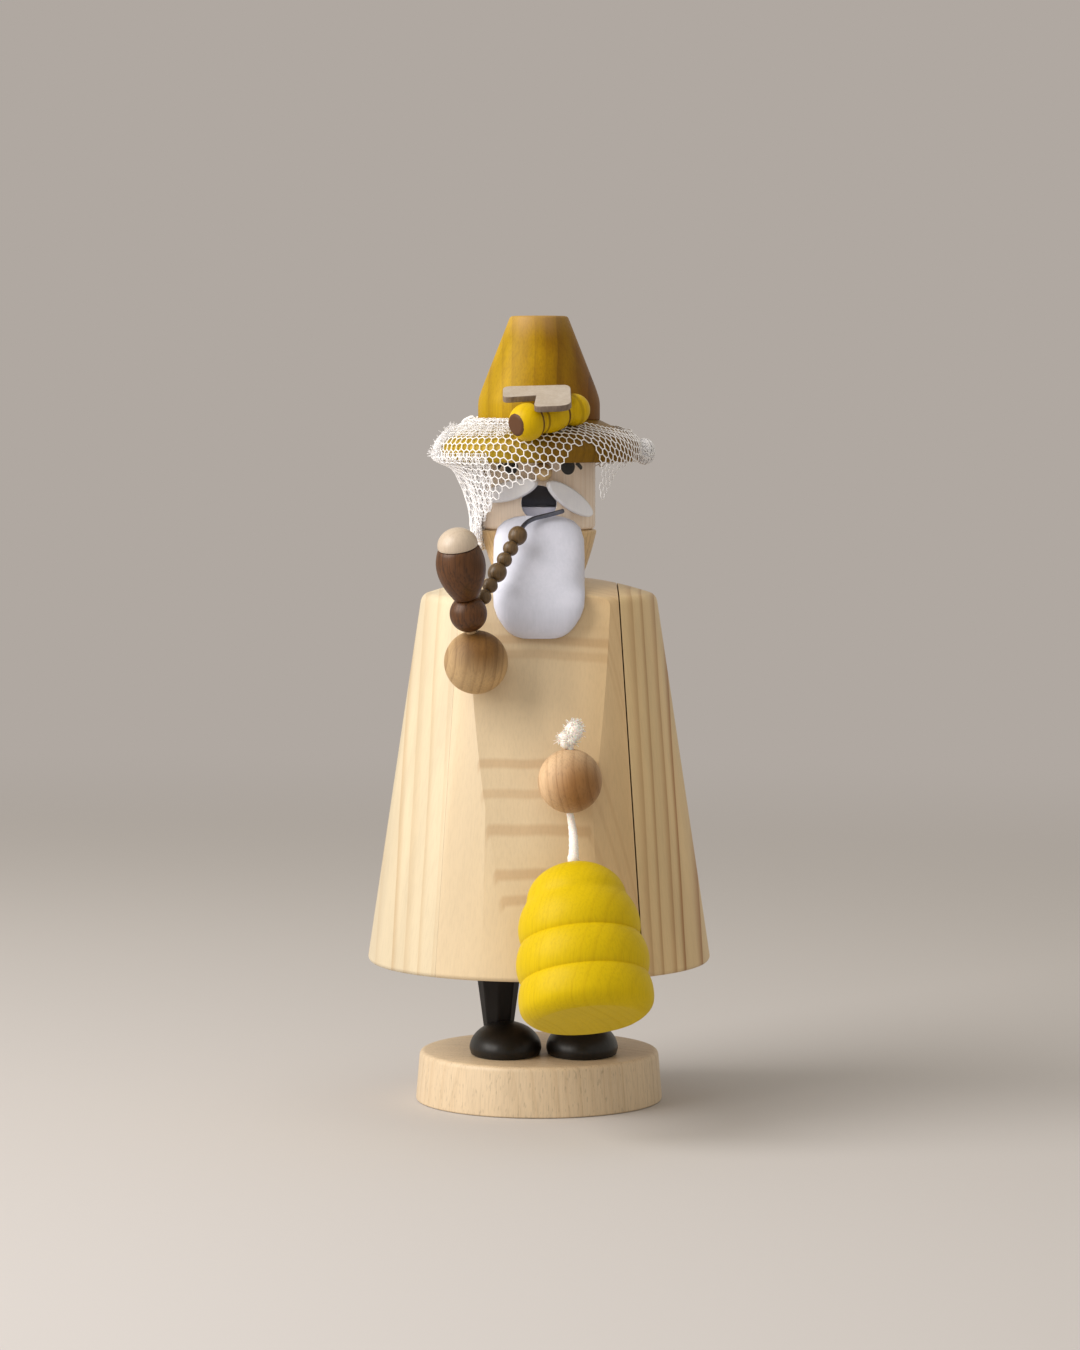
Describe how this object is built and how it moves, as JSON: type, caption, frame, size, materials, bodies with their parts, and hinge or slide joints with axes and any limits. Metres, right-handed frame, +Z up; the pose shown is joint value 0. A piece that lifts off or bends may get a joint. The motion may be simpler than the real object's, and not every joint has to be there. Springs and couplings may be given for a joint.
{
  "type": "incense smoker figure",
  "caption": "Turned wooden incense smoker: a beekeeper with a netted hat, a pipe and a hive on a cord, whose hollow coat lifts off a hearth disc on legs.",
  "frame": {"origin": "middle of the base disc's underside, on the table", "axes": "+Z up; the face, the pipe and the hive look along -Y; +X is to the right of a viewer who faces the figure"},
  "size_m": [0.083, 0.1173, 0.19],
  "materials": {
    "base_wood": "bare lime or beech, fine sanded",
    "boot_paint": "black satin paint on wood",
    "dowel_beech": "bare beech",
    "hearth_beech": "bare beech",
    "ember_brass": "stamped sheet, dull",
    "pin_steel": "bright wire",
    "coat_pine": "natural pine under clear satin varnish",
    "collar_beech": "beech under clear satin varnish",
    "head_wood": "pale wood under clear varnish",
    "white_paint": "white matt paint on wood",
    "hat_stain": "golden yellow stain, satin",
    "net_cotton": "white fine mesh",
    "bee_paint": "yellow stain with dark burnt rings, satin",
    "wing_ply": "pale thin wood with a darker edge",
    "hand_beech": "beech under clear varnish",
    "pipe_stain": "dark brown stain, satin",
    "cap_wood": "pale wood under clear varnish",
    "wire_steel": "grey wire",
    "cord_cotton": "white twisted cotton",
    "hive_paint": "yellow stain, satin"
  },
  "bodies": {
    "stand": {"base_disc": "base_wood", "shoe_left": "boot_paint", "leg_left": "boot_paint", "foot_dowel_left": "dowel_beech", "hip_dowel_left": "dowel_beech", "shoe_right": "boot_paint", "leg_right": "boot_paint", "foot_dowel_right": "dowel_beech", "hip_dowel_right": "dowel_beech", "hearth_disc": "hearth_beech", "ember_plate": "ember_brass", "ember_plate_nail": "pin_steel"},
    "figure": {"sleeve_dowel_left_lower": "dowel_beech", "sleeve_dowel_left_upper": "dowel_beech", "sleeve_left": "coat_pine", "sleeve_dowel_right_lower": "dowel_beech", "sleeve_dowel_right_upper": "dowel_beech", "sleeve_right": "coat_pine", "coat_body": "coat_pine", "collar": "collar_beech", "head": "head_wood", "nose": "head_wood", "moustache_left": "white_paint", "moustache_right": "white_paint", "beard": "white_paint", "hat_brim": "hat_stain", "hat_crown": "hat_stain", "hat_dowel": "dowel_beech", "veil": "net_cotton", "bee_wings": "wing_ply", "bee_wing_pin": "dowel_beech", "bee_body": "bee_paint", "bee_pin": "pin_steel", "pipe_hand": "hand_beech", "pipe_hand_dowel": "dowel_beech", "pipe_ball": "pipe_stain", "pipe_bowl": "pipe_stain", "pipe_cap": "cap_wood", "pipe_peg": "dowel_beech", "pipe_bead_1": "pipe_stain", "pipe_bead_2": "pipe_stain", "pipe_bead_3": "pipe_stain", "pipe_bead_4": "pipe_stain", "pipe_bead_5": "pipe_stain", "pipe_bead_6": "pipe_stain", "pipe_wire": "wire_steel", "hive_hand": "hand_beech", "hive_hand_dowel": "dowel_beech", "cord_knot": "cord_cotton"},
    "cord": {"hive_cord": "cord_cotton"},
    "hive": {"hive": "hive_paint", "hive_cord_end": "cord_cotton"}
  },
  "joints": [
    {"name": "figure_lift", "type": "slide", "parent": "stand", "child": "figure", "axis": [0, 0, 1], "range_m": [0, 0.05]},
    {"name": "cord_swing", "type": "hinge", "parent": "figure", "child": "cord", "pos_m": [0.00725, -0.03981, 0.0734], "axis": [-1, 0, 0], "range_deg": [0, 35]},
    {"name": "hive_sway", "type": "hinge", "parent": "cord", "child": "hive", "pos_m": [0.0079, -0.04761, 0.0626], "axis": [0, -0.9774, 0.2116], "range_deg": [-12, 12]}
  ]
}
